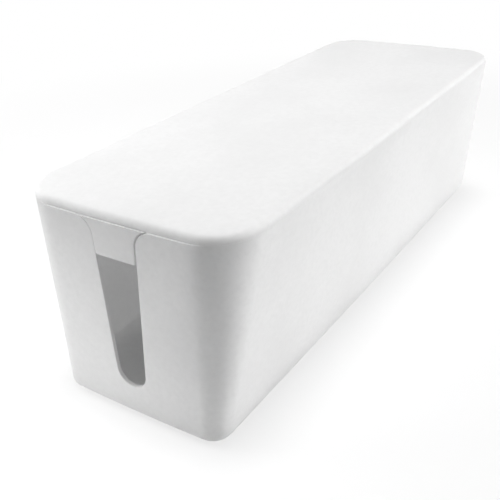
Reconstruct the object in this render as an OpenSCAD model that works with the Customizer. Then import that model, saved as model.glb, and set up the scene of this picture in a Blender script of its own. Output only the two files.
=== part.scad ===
// Cable management box: a long tapered tub with an open cable slot in each end, a lift-off lid
// whose end tabs close the tops of the slots, and four rubber feet under the base.
// Millimetres, +Z up, +X along the box, +Y across it. The origin is on the table under its middle.
// The left end is at -X and the front is the long side at -Y.

/* [Box] */
// Length over the top of the lid
case_l = 420; // [340:5:500]
// Width over the top of the lid
case_w = 153; // [135:1:190]
// Height from the table to the top of the lid
case_h = 133; // [110:1:160]
// How far each long side leans in between the top and the base
side_lean = 17; // [8:1:22]
// How far each end leans in between the top and the base
end_lean = 1; // [0.5:0.5:6]
// Wall thickness of the tub
wall_t = 2.6; // [2:0.2:3.4]
// Thickness of the tub's floor
floor_t = 3; // [2.6:0.2:4]
// Depth of the hollow under the floor, inside the rim that the tub stands on
base_hollow = 8; // [4:0.5:10]
// Width of that rim where it is flat
base_rim_t = 3; // [2.2:0.2:3.6]

/* [Corners and edges] */
// Radius of the upright corners at the top
top_corner_r = 31; // [22:1:40]
// Radius of the upright corners at the base
base_corner_r = 12; // [10:1:20]
// Radius of the outside edge around the base
base_edge_r = 6; // [3:0.5:8]
// Radius of the inside edge around the floor
floor_edge_r = 5; // [2:0.5:7]
// Radius of the tub's outside edge at the rim
rim_edge_r = 0.8; // [0.4:0.1:1.2]
// Radius of the edge around the top of the lid
lid_edge_r = 3.5; // [1:0.25:4]
// Radius of the slight outward curve across each end
end_curve_r = 1600; // [900:50:3000]
// Radius of the slight outward curve along each long side
side_curve_r = 30000; // [20000:1000:60000]

/* [Lid] */
// Height of the lid's edge band, down to the rim of the tub
band_h = 4.6; // [4:0.2:7]
// Thickness of the lid's plate
plate_t = 2.4; // [1.8:0.2:3.2]
// Depth of the locating lip below the rim
lip_drop = 5; // [3:0.5:8]
// Thickness of the locating lip
lip_t = 1.8; // [1.4:0.2:2.6]
// Gap between the locating lip and the tub's wall
lip_gap = 0.5; // [0.3:0.1:1]

/* [Cable slots] */
// Width of each slot at the rim, before its corners flare out
slot_top_w = 31.4; // [26:0.2:40]
// Width of each slot at its round bottom
slot_base_w = 21; // [16:0.2:25]
// Height of each slot's lowest point above the underside of the tub
slot_base_h = 22; // [14:1:40]
// Radius of the tub's corners where each slot meets the rim
slot_corner_r = 8; // [5:0.5:11]

/* [Lid tabs] */
// Depth of each tab below the rim
tab_drop = 21.4; // [16:0.2:30]
// Gap between a tab and the edges of its slot
tab_gap = 0.6; // [0.3:0.1:1]
// Radius of each tab's two lower corners
tab_corner_r = 1; // [0.5:0.25:3]

/* [Feet] */
// Diameter of a rubber foot
foot_d = 16; // [12:1:20]
// How far a foot stands out below the tub
foot_stand = 1; // [0.6:0.2:2]
// Depth of the pocket that holds a foot
foot_pocket = 1.2; // [0.8:0.2:1.6]
// Gap all round a foot in its pocket
foot_gap = 0.15; // [0.1:0.05:0.3]
// Chamfer around a foot's lower face
foot_chamfer = 0.4; // [0.2:0.1:0.6]
// Wall between the rim under the tub and a foot's pocket
foot_margin = 1.4; // [1:0.2:2]
// Wall around a foot's pocket on its other sides
pad_t = 2.4; // [2.2:0.2:4]

/* [Hidden] */

plastic_white = [0.93, 0.93, 0.92];
rubber_grey = [0.62, 0.62, 0.61];

$fn = 64;
end_steps = 2;
corner_steps = 10;
side_steps = 2;
edge_steps = 5;
rim_edge_steps = 3;
overcut = 5;

base_z = foot_stand;
rim_z = case_h - band_h;
floor_z = base_z + base_hollow + floor_t;
base_rim_in = base_edge_r + base_rim_t;
pocket_r = foot_d / 2 + foot_gap;
lip_out = wall_t + lip_gap;
lip_in = lip_out + lip_t;
slot_base_r = slot_base_w / 2;
slot_centre_z = base_z + slot_base_h + slot_base_r;

// ---- Outline of the box at any height, worked out from its arcs ----

// 0 at the top of the lid, 1 at the underside of the tub
function lean_share(z) = (case_h - z) / (case_h - base_z);
function half_l(z) = case_l / 2 - end_lean * lean_share(z);
function half_w(z) = case_w / 2 - side_lean * lean_share(z);
function corner_r(z) = top_corner_r + (base_corner_r - top_corner_r) * lean_share(z);

// Centre of a corner arc that runs smoothly into the end's arc and the side's arc
function corner_centre(end_x, side_y, r) =
    let (
        end_reach = end_curve_r - r,
        side_reach = side_curve_r - r,
        apart = norm([end_x, side_y]),
        along = (end_reach ^ 2 - side_reach ^ 2 + apart ^ 2) / (2 * apart),
        across = sqrt(end_reach ^ 2 - along ^ 2),
        u = [-end_x, side_y] / apart
    )
    [end_x, 0] + along * u + across * [-u[1], u[0]];

function arc(centre, r, from, to, steps) =
    [for (k = [0:steps - 1]) let (angle = from + (to - from) * k / steps)
        centre + r * [cos(angle), sin(angle)]];

// A quarter of the outline, from the middle of the right end to the middle of the rear side,
// lying the given distance inside the outer skin
function quarter(z, inset) =
    let (
        end_x = half_l(z) - end_curve_r,
        side_y = half_w(z) - side_curve_r,
        r = corner_r(z),
        centre = corner_centre(end_x, side_y, r),
        end_angle = atan2(centre[1], centre[0] - end_x),
        side_angle = atan2(centre[1] - side_y, centre[0])
    )
    concat(
        arc([end_x, 0], end_curve_r - inset, 0, end_angle, end_steps),
        arc(centre, r - inset, end_angle, side_angle, corner_steps),
        arc([0, side_y], side_curve_r - inset, side_angle, 90, side_steps),
        [[0, half_w(z) - inset]]
    );

function ring(z, inset) =
    let (q = quarter(z, inset), last = len(q) - 1)
    concat(
        [for (i = [0:last]) [q[i][0], q[i][1], z]],
        [for (i = [last - 1:-1:0]) [-q[i][0], q[i][1], z]],
        [for (i = [1:last]) [-q[i][0], -q[i][1], z]],
        [for (i = [last - 1:-1:1]) [q[i][0], -q[i][1], z]]
    );

// Rings of a rounded edge that starts flat at height z and ends upright, going up or going down
function edge_rings(z, inset, r, steps, way) =
    [for (k = [0:steps]) let (angle = 90 * k / steps)
        ring(z + way * r * (1 - cos(angle)), inset + r * (1 - sin(angle)))];

function backwards(list) = [for (i = [len(list) - 1:-1:0]) list[i]];

// Closed solid through rings that lie above each other, lowest first
module loft(rings) {
    n = len(rings[0]);
    top = (len(rings) - 1) * n;
    points = [for (r = rings) each r];
    floor_face = [[for (i = [0:n - 1]) i]];
    top_face = [[for (i = [n - 1:-1:0]) top + i]];
    walls = [
        for (k = [0:len(rings) - 2], i = [0:n - 1])
            let (j = (i + 1) % n, a = k * n + i, b = k * n + j)
            each [[a, a + n, b], [b, a + n, b + n]]
    ];
    polyhedron(points, concat(floor_face, top_face, walls));
}

// ---- Cable slots and lid tabs, drawn looking along the box: x is across, y is up ----

// Angle on the slot's round bottom where the straight edge from the rim touches it
function touch_angle() =
    let (p = [slot_top_w / 2, rim_z - slot_centre_z])
    atan2(p[1], p[0]) - acos(slot_base_r / norm(p));

// Lean of the slot's straight edges, and the centre of the round corner where one meets the rim
slot_lean = -touch_angle();
flare_x = slot_top_w / 2 + slot_corner_r * (1 / cos(slot_lean) - tan(slot_lean));
flare_z = rim_z - slot_corner_r;

// Half width of the straight part of a slot at height z
function slot_half_w(z) = slot_top_w / 2 - (rim_z - z) * tan(slot_lean);

module flare_circles(r) {
    for (side = [-1, 1])
        translate([side * flare_x, flare_z])
            circle(r);
}

module slot_shape() {
    touch = slot_base_r * [cos(slot_lean), -sin(slot_lean)];
    translate([0, slot_centre_z])
        circle(slot_base_r);
    polygon([
        [-slot_half_w(rim_z + overcut), rim_z + overcut],
        [-touch[0], slot_centre_z + touch[1]],
        [touch[0], slot_centre_z + touch[1]],
        [slot_half_w(rim_z + overcut), rim_z + overcut]
    ]);
    difference() {
        polygon([
            [-flare_x, rim_z + overcut],
            [-flare_x, rim_z],
            [-slot_half_w(flare_z), flare_z],
            [slot_half_w(flare_z), flare_z],
            [flare_x, rim_z],
            [flare_x, rim_z + overcut]
        ]);
        flare_circles(slot_corner_r);
    }
}

module tab_shape() {
    gap = tab_gap / cos(slot_lean);
    foot_z = rim_z - tab_drop;
    shoulder_x = flare_x - sqrt((slot_corner_r + tab_gap) ^ 2 - slot_corner_r ^ 2);
    difference() {
        polygon([
            [-shoulder_x, rim_z + overcut],
            [-shoulder_x, rim_z],
            [-slot_half_w(flare_z) + gap, flare_z],
            [-slot_half_w(foot_z) + gap, foot_z],
            [slot_half_w(foot_z) - gap, foot_z],
            [slot_half_w(flare_z) - gap, flare_z],
            [shoulder_x, rim_z],
            [shoulder_x, rim_z + overcut]
        ]);
        flare_circles(slot_corner_r + tab_gap);
        for (side = [-1, 1])
            tab_corner_waste(side, side * (slot_half_w(foot_z) - gap), foot_z);
    }
}

// What is cut from a lower corner of a tab to round it
module tab_corner_waste(side, x, z) {
    difference() {
        translate([x - (side > 0 ? tab_corner_r : overcut), z - overcut])
            square([tab_corner_r + overcut, tab_corner_r + overcut]);
        translate([x - side * tab_corner_r, z + tab_corner_r])
            circle(tab_corner_r);
    }
}

// Turns a shape drawn looking along the box upright and carries it through both ends
module through_ends() {
    rotate([90, 0, 90])
        linear_extrude(case_l + 2 * overcut, center = true)
            children();
}

// ---- Pieces ----

// Where a foot's centre lies, left or right and front or rear
function foot_place(sx, sy) =
    let (reach = base_rim_in + foot_margin + pocket_r)
    [sx * (half_l(base_z) - reach), sy * (half_w(base_z) - reach), 0];

// Carries a shape to the four places of the feet, its own +x and +y turned to the outside
module at_feet() {
    for (sx = [-1, 1], sy = [-1, 1])
        translate(foot_place(sx, sy))
            mirror([sx < 0 ? 1 : 0, 0, 0])
                mirror([0, sy < 0 ? 1 : 0, 0])
                    children();
}

module tub_skin() {
    loft(concat(
        edge_rings(base_z, 0, base_edge_r, edge_steps, 1),
        backwards(edge_rings(rim_z, 0, rim_edge_r, rim_edge_steps, -1))
    ));
}

module tub_hollow() {
    loft(concat(
        edge_rings(floor_z, wall_t, floor_edge_r, edge_steps, 1),
        [ring(rim_z + overcut, wall_t)]
    ));
}

// The hollow under the floor, around the pads that hold the feet
module base_waste() {
    ceiling_z = base_z + base_hollow;
    difference() {
        loft([ring(base_z - overcut, base_rim_in), ring(ceiling_z, base_rim_in)]);
        at_feet() {
            cylinder(h = ceiling_z + overcut, r = pocket_r + pad_t);
            cube([pocket_r + pad_t, pocket_r + pad_t, ceiling_z + overcut]);
        }
    }
}

module box_body() {
    color(plastic_white)
        difference() {
            tub_skin();
            tub_hollow();
            base_waste();
            through_ends()
                slot_shape();
            at_feet()
                translate([0, 0, base_z - overcut])
                    cylinder(h = overcut + foot_pocket, r = pocket_r);
        }
}

// Everything below the rim that is neither the locating lip nor a tab, which is as thick as the wall
module lid_waste() {
    difference() {
        translate([-case_l, -case_w, rim_z - case_h])
            cube([2 * case_l, 2 * case_w, case_h]);
        loft([ring(rim_z - lip_drop, lip_out), ring(rim_z + overcut, lip_out)]);
        through_ends()
            tab_shape();
    }
    loft([
        ring(rim_z - tab_drop - 2 * overcut, wall_t),
        ring(rim_z - lip_drop, wall_t)
    ]);
}

module lid() {
    color(plastic_white)
        difference() {
            loft(concat(
                [ring(rim_z - tab_drop - overcut, 0)],
                backwards(edge_rings(case_h, 0, lid_edge_r, edge_steps, -1))
            ));
            loft([
                ring(rim_z - tab_drop - 2 * overcut, lip_in),
                ring(case_h - plate_t, lip_in)
            ]);
            lid_waste();
        }
}

module foot(sx, sy) {
    top_z = base_z + foot_pocket;
    color(rubber_grey)
        translate(foot_place(sx, sy))
            rotate_extrude()
                polygon([
                    [0, 0],
                    [foot_d / 2 - foot_chamfer, 0],
                    [foot_d / 2, foot_chamfer],
                    [foot_d / 2, top_z],
                    [0, top_z]
                ]);
}

module foot_front_left() { foot(-1, -1); }
module foot_front_right() { foot(1, -1); }
module foot_rear_left() { foot(-1, 1); }
module foot_rear_right() { foot(1, 1); }

box_body();
lid();
foot_front_left();
foot_front_right();
foot_rear_left();
foot_rear_right();
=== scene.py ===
import math

import bmesh
import bpy
from mathutils import Matrix, Vector


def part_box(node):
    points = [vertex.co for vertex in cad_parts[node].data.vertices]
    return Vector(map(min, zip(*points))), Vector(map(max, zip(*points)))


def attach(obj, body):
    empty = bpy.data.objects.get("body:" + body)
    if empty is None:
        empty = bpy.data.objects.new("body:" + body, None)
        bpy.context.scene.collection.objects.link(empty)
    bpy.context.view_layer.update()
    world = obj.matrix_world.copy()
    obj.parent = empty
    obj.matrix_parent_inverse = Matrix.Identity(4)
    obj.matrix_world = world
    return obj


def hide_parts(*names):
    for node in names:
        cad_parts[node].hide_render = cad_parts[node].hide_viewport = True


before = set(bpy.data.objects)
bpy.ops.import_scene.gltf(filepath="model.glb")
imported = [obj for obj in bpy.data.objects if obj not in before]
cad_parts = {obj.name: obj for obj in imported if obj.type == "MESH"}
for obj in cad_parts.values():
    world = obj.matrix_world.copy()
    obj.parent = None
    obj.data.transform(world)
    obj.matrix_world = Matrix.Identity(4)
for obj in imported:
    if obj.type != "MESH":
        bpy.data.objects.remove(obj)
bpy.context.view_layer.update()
print("frame loaded:", len(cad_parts), "nodes")

mm = 0.001
seamNear = 0.002 * mm  # points this close are one
sliver = 0.001 * mm  # shorter edges are closed up
levelNear = 0.01 * mm  # how flat a hole's edge has to lie
sharpAngle = 40  # degrees between faces from which an edge is shaded sharp

tubLow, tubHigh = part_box("box_body")
lidLow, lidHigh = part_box("lid")
footLow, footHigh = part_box("foot_rear_right")

box = {  # what the tub and the lid share
    "sideLean": 17 * mm,  # how far a long side leans in, top to base
    "endLean": 1 * mm,
    "topCorner": 31 * mm,
    "baseCorner": 12 * mm,
    "endCurve": 1600 * mm,  # slight outward curve of an end, in plan
    "sideCurve": 30000 * mm,
    "wall": 2.6 * mm,
    "lidEdge": 3.5 * mm,  # round of the lid's top edge
}
topZ = lidHigh.z
rimZ = tubHigh.z
baseZ = tubLow.z
widestShare = box["lidEdge"] / (topZ - baseZ)  # where the lid's box is widest, below its rounded edge
halfLengthTop = lidHigh.x + box["endLean"] * widestShare
halfWidthTop = lidHigh.y + box["sideLean"] * widestShare


def leanShare(z):
    return (topZ - z) / (topZ - baseZ)


# the arcs that make the outline at height z: end, corner and side run into each other smoothly
def outlineArcs(z):
    share = leanShare(z)
    endX = halfLengthTop - box["endLean"] * share - box["endCurve"]
    sideY = halfWidthTop - box["sideLean"] * share - box["sideCurve"]
    r = box["topCorner"] + (box["baseCorner"] - box["topCorner"]) * share
    endReach = box["endCurve"] - r
    sideReach = box["sideCurve"] - r
    apart = math.hypot(endX, sideY)
    along = (endReach ** 2 - sideReach ** 2 + apart ** 2) / (2 * apart)
    across = math.sqrt(endReach ** 2 - along ** 2)
    ux, uy = -endX / apart, sideY / apart
    cx, cy = endX + along * ux - across * uy, along * uy + across * ux
    endAngle = math.atan2(cy, cx - endX)
    sideAngle = math.atan2(cy - sideY, cx)
    return endX, sideY, cx, cy, r, endAngle, sideAngle


# a point of the right end's surface, inset below the outer skin
def endPoint(y, z, inset, way=1):
    endX = outlineArcs(z)[0]
    x = endX + math.sqrt((box["endCurve"] - inset) ** 2 - y * y)
    return Vector((way * x, y, z))


# a point of the rear side's surface
def sidePoint(x, z, inset):
    sideY = outlineArcs(z)[1]
    return Vector((x, sideY + math.sqrt((box["sideCurve"] - inset) ** 2 - x * x), z))


# a point of the corner between them, t of the way from the end round to the side
def cornerPoint(t, z, inset):
    cx, cy, r, endAngle, sideAngle = outlineArcs(z)[2:]
    a = mixed(endAngle, sideAngle, t)
    return Vector((cx + (r - inset) * math.cos(a), cy + (r - inset) * math.sin(a), z))


# columns of a ring's mesh, where fade is how many of the corner's an end's edge runs out over
columns = {"end": 5, "corner": 18, "side": 14, "fade": 4}


# a ring from the right end, at y = startY, round the rear to the left end. at(share) gives its height and
# inset, where share is 1 on the ends and 0 on the sides
def panelRing(startY, at):
    z, inset = at(1)
    joinY = (box["endCurve"] - inset) * math.sin(outlineArcs(z)[5])
    points = [endPoint(y, z, inset) for y in steps(startY, joinY, columns["end"])[:-1]]
    for column, t in enumerate(steps(0, 1, columns["corner"])[:-1]):
        points.append(cornerPoint(t, *at(max(0, 1 - column / columns["fade"]))))
    z, inset = at(0)
    joinX = (box["sideCurve"] - inset) * math.cos(outlineArcs(z)[6])
    points += [sidePoint(x, z, inset) for x in steps(joinX, 0, columns["side"])]
    return points + [Vector((-p.x, p.y, p.z)) for p in reversed(points[:-1])]


def fullRing(at):
    rear = panelRing(0, at)
    return rear + turned(rear)[1:]


def turned(points):  # half a turn about the vertical axis
    return [Vector((-p.x, -p.y, p.z)) for p in points]


def mixed(a, b, t):
    return a + (b - a) * t


def steps(a, b, n):  # n + 1 even values from a to b
    return [mixed(a, b, i / n) for i in range(n + 1)]


# a quarter circle of radius r as pairs: the first grows from 0 to r as the second shrinks from r to 0
def quarterRound(r, n):
    return [(r * (1 - math.cos(a)), r * (1 - math.sin(a))) for a in steps(0, math.pi / 2, n)]


def addGrid(bm, rows):
    made = [[bm.verts.new(p) for p in row] for row in rows]
    for lower, upper in zip(made, made[1:]):
        for i in range(len(lower) - 1):
            bm.faces.new((lower[i], lower[i + 1], upper[i + 1], upper[i]))


def mergeSeams(bm):
    bmesh.ops.remove_doubles(bm, verts=bm.verts, dist=seamNear)
    bmesh.ops.dissolve_degenerate(bm, edges=bm.edges, dist=sliver)


def openEdges(bm, z):  # edges of a hole that lies flat at height z
    return [e for e in bm.edges if e.is_boundary and all(abs(v.co.z - z) < levelNear for v in e.verts)]


def linked(name, data):
    thing = bpy.data.objects.new(name, data)
    bpy.context.scene.collection.objects.link(thing)
    return thing


def meshPiece(bm, name):
    bmesh.ops.recalc_face_normals(bm, faces=bm.faces)
    mesh = bpy.data.meshes.new(name)
    bm.to_mesh(mesh)
    bm.free()
    mesh.shade_smooth()
    mesh.set_sharp_from_angle(angle=math.radians(sharpAngle))
    openCount = sum(1 for n in edgeUses(mesh) if n != 2)
    print(name, "made:", len(mesh.polygons), "faces,", openCount, "open edges")
    return linked(name, mesh)


def edgeUses(mesh):
    uses = [0] * len(mesh.edges)
    for loop in mesh.loops:
        uses[loop.edge_index] += 1
    return uses


slot = {  # a cable slot, drawn looking along the box
    "topWidth": 31.4 * mm,
    "baseWidth": 21 * mm,
    "baseHeight": 22 * mm,  # lowest point above the underside of the tub
    "corner": 11 * mm,  # round of the shoulder where the slot meets the rim
    "reach": 31 * mm,  # half width of the mesh patch that surrounds a slot
    "patchLow": 19.5 * mm,  # height of that patch's lower edge
    "flareSteps": 9, "edgeSteps": 20, "sideSteps": 5, "baseSteps": 16, "acrossSteps": 6,
    "crowding": 1.6,  # how far the patch's columns crowd towards the slot: 1 is evenly spaced
}
slotR = slot["baseWidth"] / 2
slotCentreZ = baseZ + slot["baseHeight"] + slotR
slotDrop = rimZ - slotCentreZ
slotLean = math.acos(slotR / math.hypot(slot["topWidth"] / 2, slotDrop)) - math.atan2(
    slotDrop, slot["topWidth"] / 2)
flareY = slot["topWidth"] / 2 + slot["corner"] * (1 / math.cos(slotLean) - math.tan(slotLean))
flareZ = rimZ - slot["corner"]


def slotHalfWidth(z):
    return slot["topWidth"] / 2 - (rimZ - z) * math.tan(slotLean)


# the edge of a slot as (y, z, direction into the wall, share), where share falls from 1 at the rim to 0
# below the shoulder
def slotEdge():
    r = slot["corner"]
    right = []
    for t in steps(0, 1, slot["flareSteps"])[:-1]:
        a = mixed(math.pi / 2, slotLean, t)
        right.append((flareY - r * math.cos(a), flareZ + r * math.sin(a), a, 1 - t))
    upper = (flareY - r * math.cos(slotLean), flareZ + r * math.sin(slotLean))
    lower = (slotR * math.cos(slotLean), slotCentreZ - slotR * math.sin(slotLean))
    right += [(mixed(upper[0], lower[0], t), mixed(upper[1], lower[1], t), slotLean, 0)
              for t in steps(0, 1, slot["edgeSteps"])[:-1]]
    half = slot["baseSteps"] // 2 + slot["sideSteps"]
    right += [(slotR * math.cos(a), slotCentreZ - slotR * math.sin(a), a, 0)
              for a in steps(slotLean, math.pi / 2, half)]
    return right + [(-y, z, math.pi - a, share) for y, z, a, share in reversed(right[:-1])]


# points along a slot's edge, where at(share) gives how far it is set back and its inset below the skin
def slotCurve(at):
    points = []
    for y, z, a, share in slotEdge():
        back, inset = at(share)
        points.append((y + back * math.cos(a), z - back * math.sin(a), inset))
    return points


# heights of the mesh rows beside a slot, from just under the rim to the patch's lower edge
def patchHeights(topRow):
    return (steps(topRow, flareZ, slot["flareSteps"])[:-1]
            + steps(flareZ, slotCentreZ, slot["edgeSteps"])[:-1]
            + steps(slotCentreZ, slot["patchLow"], slot["sideSteps"]))


def patchFrame(topRow):  # the straight-sided U around a slot, point for point with slotCurve
    heights = patchHeights(topRow)
    half = [(slot["reach"], z) for z in heights]
    across = steps(slot["reach"], -slot["reach"], slot["baseSteps"])[1:-1]
    return half + [(y, slot["patchLow"]) for y in across] + [(-y, z) for y, z in reversed(half)]


tub = {
    "baseEdge": 6 * mm,  # round of the outside at the base
    "floor": 3 * mm,
    "floorEdge": 1.5 * mm,  # round between floor and wall, inside
    "rimRound": {"end": 0.5 * mm, "side": 0.15 * mm, "slot": 0.3 * mm},  # outside edge of the wall
    "insideRound": 0.4 * mm,
    "edgeRows": 8, "roundRows": 5, "lowRows": 3,
    "hollow": 8 * mm,  # depth under the floor
    "hollowIn": 9 * mm,  # from the outer skin to the hollow's side
    "hollowEdge": 0.5 * mm,
    "hollowFillet": 1.5 * mm,
    "pocketR": 8.15 * mm,
    "padWall": 2.4 * mm,
    "pocketColumns": 64,
    "hollowEdgeRows": 4, "hollowFilletRows": 5,
    "hollowColumns": {"end": 6, "pad": 40, "side": 12},
    "closing": 4,  # passes that close in on where a pad's round meets the hollow's sides
}


# radius of the wall's outside edge along a side or a slot, where share is 1 at the ends' rim
def outsideRound(place, share):
    return mixed(tub["rimRound"][place], tub["rimRound"]["end"], share)


def insideRound(place, share):  # the inside edge is the same all round
    return tub["insideRound"]


# one skin of the tub, from its flat bottom up to the edge of the rim and of both slots
def addSkin(bm, inset, bottomZ, bottomR, edgeRound):
    rows = [(bottomZ + up, inset + inward) for up, inward in quarterRound(bottomR, tub["edgeRows"])]
    rows += [(z, inset) for z in steps(rows[-1][0], slot["patchLow"], tub["lowRows"])[1:]]
    acrossYs = steps(-slot["reach"], slot["reach"], slot["baseSteps"])
    for way in (1, -1):
        addGrid(bm, [[endPoint(y, z, i, way) for y in acrossYs] for z, i in rows])
    rear = [panelRing(slot["reach"], lambda share, row=row: row) for row in rows]
    for i in reversed(range(len(patchHeights(rimZ)) - 1)):
        rear.append(panelRing(slot["reach"], lambda share, i=i: (
            patchHeights(rimZ - edgeRound("side", share))[i], inset)))
    addGrid(bm, rear)
    addGrid(bm, [turned(row) for row in rear])
    curve = slotCurve(lambda share: (edgeRound("slot", share), inset))
    frameU = patchFrame(rimZ - edgeRound("side", 1))
    for way in (1, -1):
        addGrid(bm, [[endPoint(mixed(c[0], f[0], t), mixed(c[1], f[1], t), inset, way)
                      for c, f in zip(curve, frameU)] for t in acrossShares()])


def acrossShares():  # closer together near the slot
    return [t ** slot["crowding"] for t in steps(0, 1, slot["acrossSteps"])]


# the rounded edge of the wall, from the outer skin over to the inner one: (depth below the edge, inset)
def edgeProfile(place, share):
    rows = tub["roundRows"]
    outer = [(back, inset) for inset, back in quarterRound(outsideRound(place, share), rows)]
    inner = [(back, box["wall"] - inset) for inset, back in quarterRound(tub["insideRound"], rows)]
    return outer + inner[::-1]


def addRim(bm):
    def rimAt(row):
        def at(share):
            back, inset = edgeProfile("side", share)[row]
            return rimZ - back, inset
        return at

    rows = range(len(edgeProfile("side", 1)))
    rear = [panelRing(slot["reach"], rimAt(row)) for row in rows]
    addGrid(bm, rear)
    addGrid(bm, [turned(row) for row in rear])
    for way in (1, -1):
        for side in (1, -1):
            ys = [side * mixed(flareY, slot["reach"], t) for t in acrossShares()]
            addGrid(bm, [[endPoint(y, rimZ - back, inset, way) for y in ys]
                         for back, inset in edgeProfile("side", 1)])
        addGrid(bm, [[endPoint(y, z, inset, way) for y, z, inset in
                      slotCurve(lambda share, row=row: edgeProfile("slot", share)[row])] for row in rows])


def footPlaces():
    x, y = (footLow.x + footHigh.x) / 2, (footLow.y + footHigh.y) / 2
    return [Vector((sx * x, sy * y, 0)) for sx in (-1, 1) for sy in (-1, 1)]


def circleRow(centre, r, z, count):
    angles = steps(0, 2 * math.pi, count)
    return [Vector((centre.x + r * math.cos(a), centre.y + r * math.sin(a), z)) for a in angles]


# the hollow under the floor at height z, narrowed by "drawn": its sides and an arc round each foot's pad
def hollowRing(z, drawn):
    place = footPlaces()[3]
    r = tub["pocketR"] + tub["padWall"] + drawn
    inset = tub["hollowIn"] + drawn
    y, x = place.y, place.x
    for _ in range(tub["closing"]):
        y = place.y - math.sqrt(r ** 2 - (endPoint(y, z, inset).x - place.x) ** 2)
        x = place.x - math.sqrt(r ** 2 - (sidePoint(x, z, inset).y - place.y) ** 2)
    startAngle = math.atan2(y - place.y, endPoint(y, z, inset).x - place.x)
    endAngle = math.atan2(sidePoint(x, z, inset).y - place.y, x - place.x) - 2 * math.pi
    columns = tub["hollowColumns"]
    points = [endPoint(t, z, inset) for t in steps(0, y, columns["end"])[:-1]]
    points += [Vector((place.x + r * math.cos(a), place.y + r * math.sin(a), z))
               for a in steps(startAngle, endAngle, columns["pad"])]
    points += [sidePoint(t, z, inset) for t in steps(x, 0, columns["side"])[1:]]
    points += [Vector((-p.x, p.y, p.z)) for p in reversed(points[:-1])]
    return points + turned(points)[1:]


def buildTub():
    bm = bmesh.new()
    ceilingZ = baseZ + tub["hollow"]
    floorZ = ceilingZ + tub["floor"]
    pocketZ = footHigh.z
    addSkin(bm, 0, baseZ, tub["baseEdge"], outsideRound)
    addSkin(bm, box["wall"], floorZ, tub["floorEdge"], insideRound)
    addRim(bm)
    hollow = [(baseZ + up, -out) for up, out in quarterRound(tub["hollowEdge"], tub["hollowEdgeRows"])]
    hollow += [(ceilingZ - down, drawn)
               for drawn, down in quarterRound(tub["hollowFillet"], tub["hollowFilletRows"])]
    addGrid(bm, [hollowRing(z, drawn) for z, drawn in hollow])
    for place in footPlaces():
        addGrid(bm, [circleRow(place, tub["pocketR"], z, tub["pocketColumns"]) for z in (baseZ, pocketZ)])
    mergeSeams(bm)
    for z in (baseZ, pocketZ, ceilingZ, floorZ):
        bmesh.ops.triangle_fill(bm, use_beauty=True, edges=openEdges(bm, z), normal=(0, 0, -1))
    return meshPiece(bm, "tubShell")


tubShell = buildTub()

lid = {
    "setBack": {"end": 0.85 * mm, "side": 0.03 * mm},  # behind the tub's face: a ledge that catches light
    "seam": 0.03 * mm,  # left open between the band and the rim
    "bandRound": 0.08 * mm,
    "plate": 2.4 * mm,
    "lipGap": 0.5 * mm,
    "lipThick": 1.8 * mm,
    "lipDrop": 5 * mm,
    "lipRound": 0.4 * mm,
    "underRound": 0.8 * mm,
    "flatIn": (1.5 * mm, 6 * mm),  # rings of the flat top, inside its round
    "edgeRows": 8, "roundRows": 4,
}
lipOut = box["wall"] + lid["lipGap"]
lipIn = lipOut + lid["lipThick"]


# rings (height, inset) of the lid's section, from the middle of its top round to the middle of its
# underside, with its outer skin set back behind the tub's
def lidSection(setBack):
    plateIn = setBack + box["lidEdge"]
    nearIn, farIn = lid["flatIn"]
    few = lid["roundRows"]
    underZ = topZ - lid["plate"]
    bandZ = rimZ + lid["seam"]
    lipZ = rimZ - lid["lipDrop"]
    rings = [(topZ, plateIn + farIn), (topZ, plateIn + nearIn)]
    rings += [(topZ - down, setBack + inward)
              for down, inward in quarterRound(box["lidEdge"], lid["edgeRows"])]
    rings += [(bandZ + up, setBack + inward) for inward, up in quarterRound(lid["bandRound"], few)]
    rings += [(bandZ, lipOut)]
    rings += [(lipZ + inward, lipOut + down) for down, inward in quarterRound(lid["lipRound"], few)]
    rings += [(lipZ + down, lipIn - inward) for down, inward in quarterRound(lid["lipRound"], few)]
    rings += [(underZ - inward, lipIn + down) for down, inward in quarterRound(lid["underRound"], few)]
    rings += [(underZ, lipIn + farIn)]
    return rings


def lidRing(row):
    side, end = lid["setBack"]["side"], lid["setBack"]["end"]
    return fullRing(lambda share: lidSection(mixed(side, end, share))[row])


tab = {  # closes the top of a slot
    "gap": 0.6 * mm,
    "footCorner": 1 * mm,
    "shift": 0.45 * mm,  # the lid was put on a little to one side, so one gap beside a tab is wider
    "frontRound": 0.2 * mm,
    "backRound": 0.25 * mm,
    "embed": 0.3 * mm,  # how far a tab reaches into the band above it
    "lipOverlap": 0.3 * mm,  # how far it reaches into the lip behind it
    "stepDown": 0.2 * mm, "stepHeight": 0.6 * mm,  # its back steps in from so far below the lip's edge
    "bandStep": 0.01 * mm,
    "shoulderRows": 10, "sideRows": 12, "footRows": 5, "acrossSteps": 14, "roundRows": 4,
}
tabFootZ = lidLow.z


# rows (z, half width) of a tab's outline set back by e, its top edge lying at topRow
def tabRows(e, topRow):
    r = slot["corner"] + tab["gap"] + e
    topAngle = math.asin((topRow - flareZ) / r)
    rows = [(flareZ + r * math.sin(a), flareY - r * math.cos(a))
            for a in steps(topAngle, slotLean, tab["shoulderRows"])]
    cornerR = tab["footCorner"] - e
    cornerZ = tabFootZ + tab["footCorner"]
    edge = (tab["gap"] + e) / math.cos(slotLean)
    rows += [(z, slotHalfWidth(z) - edge) for z in steps(rows[-1][0], cornerZ, tab["sideRows"])[1:]]
    half = rows[-1][1]
    rows += [(cornerZ - cornerR * math.sin(a), half - cornerR * (1 - math.cos(a)))
             for a in steps(0, math.pi / 2, tab["footRows"])[1:]]
    return rows


# how deep the back of a tab lies: against the lip above the lip's lower edge, a wall thick below it
def tabBack(z):
    lipFoot = rimZ - lid["lipDrop"]
    share = min(1, max(0, (z - lipFoot + tab["stepDown"]) / tab["stepHeight"]))
    return mixed(box["wall"], lipOut + tab["lipOverlap"], share)


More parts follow.
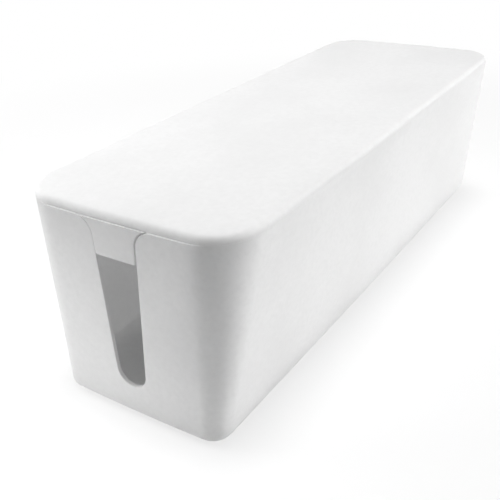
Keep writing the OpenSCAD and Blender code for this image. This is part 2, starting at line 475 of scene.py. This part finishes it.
def outlineLoop(rows):  # round a tab: across its top, down the right, across its foot, up the left
    (topRow, topHalf), (footRow, footHalf) = rows[0], rows[-1]
    across = tab["acrossSteps"]
    loop = [(y, topRow) for y in steps(-topHalf, topHalf, across)[:-1]]
    loop += [(half, z) for z, half in rows[:-1]]
    loop += [(y, footRow) for y in steps(footHalf, -footHalf, across)[:-1]]
    loop += [(-half, z) for z, half in reversed(rows[1:])]
    return loop + loop[:1]


def addTab(bm, way):
    def tabPoint(y, z, inset):
        return endPoint(y - way * tab["shift"], z, inset, way)

    across = tab["acrossSteps"]
    levels = [(inset, tabRows(back, rimZ - back))
              for inset, back in quarterRound(tab["frontRound"], tab["roundRows"])]
    bandIn = lid["setBack"]["end"] + lid["bandRound"]
    levels += [(bandIn, tabRows(0, rimZ)), (bandIn + tab["bandStep"], tabRows(0, rimZ + tab["embed"]))]
    rings = [[tabPoint(y, z, inset) for y, z in outlineLoop(rows)] for inset, rows in levels]
    for outward, back in reversed(quarterRound(tab["backRound"], tab["roundRows"])):
        rows = tabRows(back, rimZ + tab["embed"] - back)
        rings.append([tabPoint(y, z, tabBack(z) - outward) for y, z in outlineLoop(rows)])
    addGrid(bm, rings)
    for rows, depth in ((levels[0][1], lambda z: 0), (rows, tabBack)):
        addGrid(bm, [[tabPoint(y, z, depth(z)) for y in steps(-half, half, across)] for z, half in rows])


def buildLid():
    bm = bmesh.new()
    addGrid(bm, [lidRing(row) for row in range(len(lidSection(0)))])
    mergeSeams(bm)
    for z in (topZ, topZ - lid["plate"]):
        bmesh.ops.contextual_create(bm, geom=openEdges(bm, z))
    for way in (1, -1):
        addTab(bm, way)
    mergeSeams(bm)
    return meshPiece(bm, "lidShell")


lidShell = buildLid()

foot = {
    "edge": 0.5 * mm,
    "grooves": 3,  # round grooves in the lower face, so that it grips
    "grooveDepth": 0.25 * mm,
    "narrowing": 3,  # power that narrows a groove against the land between
    "rings": 36, "edgeRows": 6, "columns": 48,
}


# half section of a foot, from the middle of its lower face round to the middle of its top
def footSection():
    r = (footHigh.x - footLow.x) / 2
    flat = r - foot["edge"]
    points = []
    for x in steps(0, flat, foot["rings"]):
        wave = 0.5 - 0.5 * math.cos(2 * math.pi * foot["grooves"] * x / flat)
        points.append((x, footLow.z + foot["grooveDepth"] * wave ** foot["narrowing"]))
    points += [(flat + foot["edge"] * math.sin(a), footLow.z + foot["edge"] * (1 - math.cos(a)))
               for a in steps(0, math.pi / 2, foot["edgeRows"])[1:]]
    points += [(r, footHigh.z), (0, footHigh.z)]
    return points


def footMesh():
    bm = bmesh.new()
    angles = steps(0, 2 * math.pi, foot["columns"])
    addGrid(bm, [[Vector((x * math.cos(a), x * math.sin(a), z)) for a in angles] for x, z in footSection()])
    mergeSeams(bm)
    return meshPiece(bm, "feet")


def addNode(tree, kind, links=None, **settings):
    node = tree.nodes.new(kind)
    for name, value in settings.items():
        if hasattr(node, name):
            setattr(node, name, value)
        else:
            node.inputs[name.replace("_", " ")].default_value = value
    for name, source in (links or {}).items():
        tree.links.new(source, node.inputs[name])
    return node


# a tree that sets one foot down at each corner of a rectangle
def cornerTree(material):
    tree = bpy.data.node_groups.new("setAtCorners", "GeometryNodeTree")
    face = tree.interface
    face.new_socket("Geometry", in_out="INPUT", socket_type="NodeSocketGeometry")
    for name in ("Reach X", "Reach Y"):
        face.new_socket(name, in_out="INPUT", socket_type="NodeSocketFloat")
    face.new_socket("Geometry", in_out="OUTPUT", socket_type="NodeSocketGeometry")
    given = tree.nodes.new("NodeGroupInput")
    grid = addNode(tree, "GeometryNodeMeshGrid",
                   {"Size X": given.outputs["Reach X"], "Size Y": given.outputs["Reach Y"]})
    for count in ("Vertices X", "Vertices Y"):
        grid.inputs[count].default_value = 2
    placed = addNode(tree, "GeometryNodeInstanceOnPoints",
                     {"Points": grid.outputs["Mesh"], "Instance": given.outputs["Geometry"]})
    real = addNode(tree, "GeometryNodeRealizeInstances", {"Geometry": placed.outputs["Instances"]})
    dressed = addNode(tree, "GeometryNodeSetMaterial", {"Geometry": real.outputs["Geometry"]},
                      Material=material)
    addNode(tree, "NodeGroupOutput", {"Geometry": dressed.outputs["Geometry"]})
    return tree


def buildFeet(material):
    piece = footMesh()
    piece.data.materials.append(material)  # so that Set Material finds its slot and adds no second one
    tree = cornerTree(material)
    modifier = piece.modifiers.new("corners", "NODES")
    modifier.node_group = tree
    reach = {"Reach X": footLow.x + footHigh.x, "Reach Y": footLow.y + footHigh.y}
    for item in tree.interface.items_tree:
        if item.name in reach and item.in_out == "INPUT":
            modifier[item.identifier] = reach[item.name]
    graph = bpy.context.evaluated_depsgraph_get()
    mesh = bpy.data.meshes.new_from_object(piece.evaluated_get(graph))
    mesh.shade_smooth()
    piece.modifiers.clear()
    piece.data = mesh
    print("feet set at the corners:", len(mesh.polygons), "faces")
    return piece


def linearColour(hexText):
    parts = [int(hexText[i:i + 2], 16) / 255 for i in (1, 3, 5)]
    return [c / 12.92 if c <= 0.04045 else ((c + 0.055) / 1.055) ** 2.4 for c in parts] + [1]


def newMaterial(name):
    material = bpy.data.materials.new(name)
    material.use_nodes = True
    material.node_tree.nodes.clear()
    return material, material.node_tree


# ABS, injection moulded in a fine spark-eroded mould: satin, with a faint mottle where the melt set
plastic = {
    "colour": "#F1F1F1",
    "shade": "#EAEAEA",
    "roughness": 0.56,
    "roughSwing": 0.05,  # rougher and smoother by this much with the mottle
    "ior": 1.54,
    "grain": 0.9 * mm,  # the real grain is near 0.1 mm and is drawn coarser so that it shows
    "grainDepth": 0.012 * mm,
    "mottle": 3.2 * mm,
    "flow": 60 * mm,
    "blendReach": (0.12, 0.38),  # span of mottle times flow that runs from the shade to the colour
    "through": 0.25,  # share of the light that a thin wall lets pass, which is why the inside isn't black
    "throughColour": "#F6F6F6",
}


def mouldedAbs(name, seed):  # the seed moves the pattern, so that no two pieces share it
    material, tree = newMaterial(name)
    place = addNode(tree, "ShaderNodeTexCoord")
    shift = addNode(tree, "ShaderNodeMapping", {"Vector": place.outputs["Object"]})
    shift.inputs["Location"].default_value = (seed, seed * 0.7, seed * 0.3)
    where = shift.outputs["Vector"]
    mottle = addNode(tree, "ShaderNodeTexNoise", {"Vector": where}, Scale=1 / plastic["mottle"], Detail=3)
    flow = addNode(tree, "ShaderNodeTexNoise", {"Vector": where}, Scale=1 / plastic["flow"], Detail=2)
    grain = addNode(tree, "ShaderNodeTexNoise", {"Vector": where}, Scale=1 / plastic["grain"], Detail=4,
                    Roughness=0.6)
    blend = addNode(tree, "ShaderNodeMath", {0: mottle.outputs["Fac"], 1: flow.outputs["Fac"]},
                    operation="MULTIPLY")
    low, high = plastic["blendReach"]
    spread = addNode(tree, "ShaderNodeMapRange", {"Value": blend.outputs[0]}, From_Min=low, From_Max=high)
    colour = addNode(tree, "ShaderNodeMix", {"Factor": spread.outputs["Result"]}, data_type="RGBA",
                     A=linearColour(plastic["shade"]), B=linearColour(plastic["colour"]))
    middle, swing = plastic["roughness"], plastic["roughSwing"]
    rough = addNode(tree, "ShaderNodeMapRange", {"Value": mottle.outputs["Fac"]},
                    To_Min=middle - swing, To_Max=middle + swing)
    bump = addNode(tree, "ShaderNodeBump", {"Height": grain.outputs["Fac"]}, Distance=plastic["grainDepth"])
    shader = addNode(tree, "ShaderNodeBsdfPrincipled",
                     {"Base Color": colour.outputs["Result"], "Roughness": rough.outputs["Result"],
                      "Normal": bump.outputs["Normal"]}, IOR=plastic["ior"])
    passing = addNode(tree, "ShaderNodeBsdfTranslucent", Color=linearColour(plastic["throughColour"]))
    wall = addNode(tree, "ShaderNodeMixShader", {1: shader.outputs["BSDF"], 2: passing.outputs["BSDF"]},
                   Fac=plastic["through"])
    addNode(tree, "ShaderNodeOutputMaterial", {"Surface": wall.outputs[0]})
    return material


# thermoplastic rubber, moulded: matt, grippy and slightly dusty
rubber = {
    "colour": "#8E8E8C",
    "shade": "#7E7E7C",
    "roughness": 0.78,
    "ior": 1.5,
    "grain": 0.5 * mm,
    "grainDepth": 0.03 * mm,
}


def mouldedRubber(name):
    material, tree = newMaterial(name)
    place = addNode(tree, "ShaderNodeTexCoord")
    where = place.outputs["Object"]
    grain = addNode(tree, "ShaderNodeTexNoise", {"Vector": where}, Scale=1 / rubber["grain"], Detail=3)
    colour = addNode(tree, "ShaderNodeMix", {"Factor": grain.outputs["Fac"]}, data_type="RGBA",
                     A=linearColour(rubber["shade"]), B=linearColour(rubber["colour"]))
    bump = addNode(tree, "ShaderNodeBump", {"Height": grain.outputs["Fac"]}, Distance=rubber["grainDepth"])
    shader = addNode(tree, "ShaderNodeBsdfPrincipled",
                     {"Base Color": colour.outputs["Result"], "Normal": bump.outputs["Normal"]},
                     Roughness=rubber["roughness"], IOR=rubber["ior"])
    addNode(tree, "ShaderNodeOutputMaterial", {"Surface": shader.outputs["BSDF"]})
    return material


tubAbs = mouldedAbs("mouldedAbsTub", 0.31)
lidAbs = mouldedAbs("mouldedAbsLid", 1.77)
footRubber = mouldedRubber("mouldedRubberFoot")
feet = buildFeet(footRubber)
tubShell.data.materials.append(tubAbs)
lidShell.data.materials.append(lidAbs)
print("materials made")

# what each piece rides on and stands for
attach(tubShell, "box")
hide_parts("box_body")
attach(lidShell, "lid")
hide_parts("lid")
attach(feet, "box")
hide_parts("foot_front_left", "foot_front_right", "foot_rear_left", "foot_rear_right")
for name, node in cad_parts.items():
    material = {"box_body": tubAbs, "lid": lidAbs}.get(name, footRubber)
    node.data.materials.clear()
    node.data.materials.append(material)

view = {  # camera
    "place": (-457.3 * mm, -252.7 * mm, 296 * mm),
    "yaw": 34.2, "pitch": -25.15, "roll": -2.71,  # degrees
    "focal": 743, "frame": 500, "centre": (245, 209),  # pixels
    "sensor": 36,
    "clipStart": 10 * mm,
}


def setCamera():
    yaw, pitch, roll = (math.radians(view[k]) for k in ("yaw", "pitch", "roll"))
    ahead = Vector((math.cos(pitch) * math.cos(yaw), math.cos(pitch) * math.sin(yaw), math.sin(pitch)))
    level = Vector((math.sin(yaw), -math.cos(yaw), 0))
    above = level.cross(ahead)
    right = level * math.cos(roll) + above * math.sin(roll)
    up = above * math.cos(roll) - level * math.sin(roll)
    camera = linked("camera", bpy.data.cameras.new("camera"))
    turn = Matrix((right, up, -ahead)).transposed()
    camera.matrix_world = Matrix.Translation(view["place"]) @ turn.to_4x4()
    camera.data.sensor_width = view["sensor"]
    camera.data.lens = view["sensor"] * view["focal"] / view["frame"]
    camera.data.shift_x = (view["frame"] / 2 - view["centre"][0]) / view["frame"]
    camera.data.shift_y = (view["centre"][1] - view["frame"] / 2) / view["frame"]
    camera.data.clip_start = view["clipStart"]
    bpy.context.scene.camera = camera


studio = {
    "floor": "#F2F2F2",
    "floorHalf": 4.0,
    "paperReach": (0.3, 0.75),  # distances from the box's middle between which the floor turns whiter
    "paper": (0.72, 1.0),  # share seen as plain white at those distances; the rest takes shadow
    "shadeHalf": (0.192, 0.056),  # half length and width of the floor that the box covers
}
white = (1, 1, 1, 1)


# 1 for the rays that meet plain white: the camera's, and those that gloss or a clear material sends on
def whiteShare(tree):
    seen = addNode(tree, "ShaderNodeLightPath").outputs
    either = addNode(tree, "ShaderNodeMath", {0: seen["Is Camera Ray"], 1: seen["Is Glossy Ray"]},
                     operation="MAXIMUM")
    return addNode(tree, "ShaderNodeMath", {0: either.outputs[0], 1: seen["Is Transmission Ray"]},
                   operation="MAXIMUM").outputs[0]


# share of the floor that is white paper: it grows with the distance and is 0 below the box, where no light
# gets in
def paperShare(tree):
    place = addNode(tree, "ShaderNodeTexCoord").outputs["Object"]
    away = addNode(tree, "ShaderNodeVectorMath", {0: place}, operation="LENGTH")
    near, far = studio["paperReach"]
    nearShare, farShare = studio["paper"]
    paper = addNode(tree, "ShaderNodeMapRange", {"Value": away.outputs["Value"]},
                    interpolation_type="SMOOTHSTEP", From_Min=near, From_Max=far,
                    To_Min=nearShare, To_Max=farShare)
    scaled = addNode(tree, "ShaderNodeVectorMath", {0: place}, operation="DIVIDE")
    scaled.inputs[1].default_value = (*studio["shadeHalf"], 1)
    bare = addNode(tree, "ShaderNodeVectorMath", {0: scaled.outputs["Vector"]}, operation="ABSOLUTE")
    parts = addNode(tree, "ShaderNodeSeparateXYZ", {0: bare.outputs["Vector"]})
    farther = addNode(tree, "ShaderNodeMath", {0: parts.outputs["X"], 1: parts.outputs["Y"]},
                      operation="MAXIMUM")
    clear = addNode(tree, "ShaderNodeMath", {0: farther.outputs[0]}, operation="GREATER_THAN")
    clear.inputs[1].default_value = 1
    return addNode(tree, "ShaderNodeMath", {0: clear.outputs[0], 1: paper.outputs["Result"]},
                   operation="MULTIPLY").outputs[0]


def setFloor():
    bm = bmesh.new()
    half = studio["floorHalf"]
    addGrid(bm, [[Vector((x, y, 0)) for x in (-half, half)] for y in (-half, half)])
    mesh = bpy.data.meshes.new("floor")
    bm.to_mesh(mesh)
    bm.free()
    material, tree = newMaterial("paperFloor")
    share = addNode(tree, "ShaderNodeMath", {0: whiteShare(tree), 1: paperShare(tree)},
                    operation="MULTIPLY")
    lit = addNode(tree, "ShaderNodeBsdfDiffuse", Color=linearColour(studio["floor"]))
    glow = addNode(tree, "ShaderNodeEmission", Color=white, Strength=1)
    paper = addNode(tree, "ShaderNodeMixShader", {0: share.outputs[0], 1: lit.outputs[0], 2: glow.outputs[0]})
    addNode(tree, "ShaderNodeOutputMaterial", {"Surface": paper.outputs[0]})
    mesh.materials.append(material)
    floor = linked("floor", mesh)


lamps = {  # place, aim and size in metres, spread in degrees, whether gloss mirrors it, watts
    "overhead": ((0, 0, 3.0), (0, 0, 0), 0.9, 36, True, 3.9),
    "rightSide": ((1.15, -1.75, 0.2), (0, 0, 0.08), 1.1, 180, False, 56),
    "rear": ((0, 1.0, 0.5), (0, 0, 0.08), 0.8, 180, True, 5),
    "leftEnd": ((-0.36, 0.4, 0.3), (-0.21, 0, 0.08), 0.2, 180, False, 0.85),
    "leftLow": ((-0.34, 0.06, 0.015), (-0.21, 0.02, 0.02), 0.08, 180, True, 0.085),
}


def setLamps():
    for name, (place, aim, size, spread, mirrored, watts) in lamps.items():
        light = bpy.data.lights.new(name, "AREA")
        light.shape = "SQUARE"
        light.size = size
        light.spread = math.radians(spread)
        light.energy = watts
        lamp = linked(name, light)
        lamp.visible_camera = False
        lamp.visible_glossy = mirrored
        lamp.location = place
        lamp.rotation_euler = (Vector(aim) - Vector(place)).to_track_quat("-Z", "Y").to_euler()


def setWorld():
    world = bpy.data.worlds.new("studio")
    bpy.context.scene.world = world
    world.use_nodes = True
    tree = world.node_tree
    tree.nodes.clear()
    around = addNode(tree, "ShaderNodeBackground", {"Strength": whiteShare(tree)}, Color=white)
    addNode(tree, "ShaderNodeOutputWorld", {"Surface": around.outputs[0]})


setCamera()
setFloor()
setLamps()
setWorld()
bpy.context.scene.view_settings.view_transform = "Standard"
print("camera, floor and light set")
